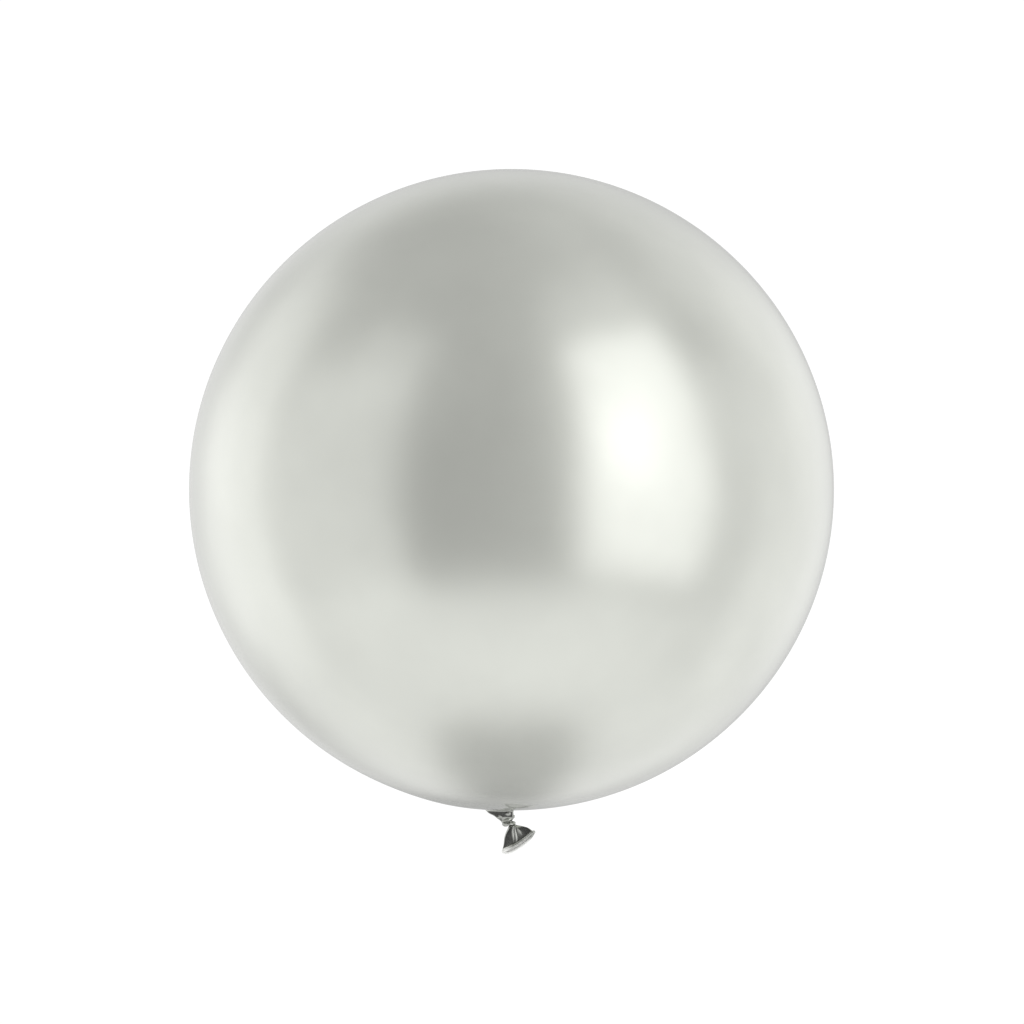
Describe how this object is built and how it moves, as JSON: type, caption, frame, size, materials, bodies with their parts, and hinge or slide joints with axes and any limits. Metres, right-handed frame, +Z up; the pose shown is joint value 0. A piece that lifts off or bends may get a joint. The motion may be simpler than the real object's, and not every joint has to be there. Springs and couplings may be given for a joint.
{
  "type": "giant round balloon",
  "caption": "Giant round rubber balloon filled with gas and tied off, with a gathered neck, a knot and a pleated tail with a rolled mouth.",
  "frame": {"origin": "middle of the inflated ball, where the air around it holds it up", "axes": "+Z up, from the tail through the middle of the ball to its crown; -Y is the front, towards which the tail's mouth is half turned; +X is to the right as seen from there"},
  "size_m": [0.8991, 0.9, 0.957],
  "materials": {
    "inflated_film": "pearly silver, gloss, stretched thin",
    "slack_film": "dark silver, gloss, unstretched and pleated",
    "rolled_film": "silver, gloss, rolled"
  },
  "bodies": {
    "root": {"envelope": "inflated_film", "gathered_neck": "slack_film", "neck_strand": "slack_film", "knot_winding": "slack_film", "tail_strand": "slack_film", "tail_skirt": "slack_film", "mouth_bead": "rolled_film"}
  },
  "joints": []
}
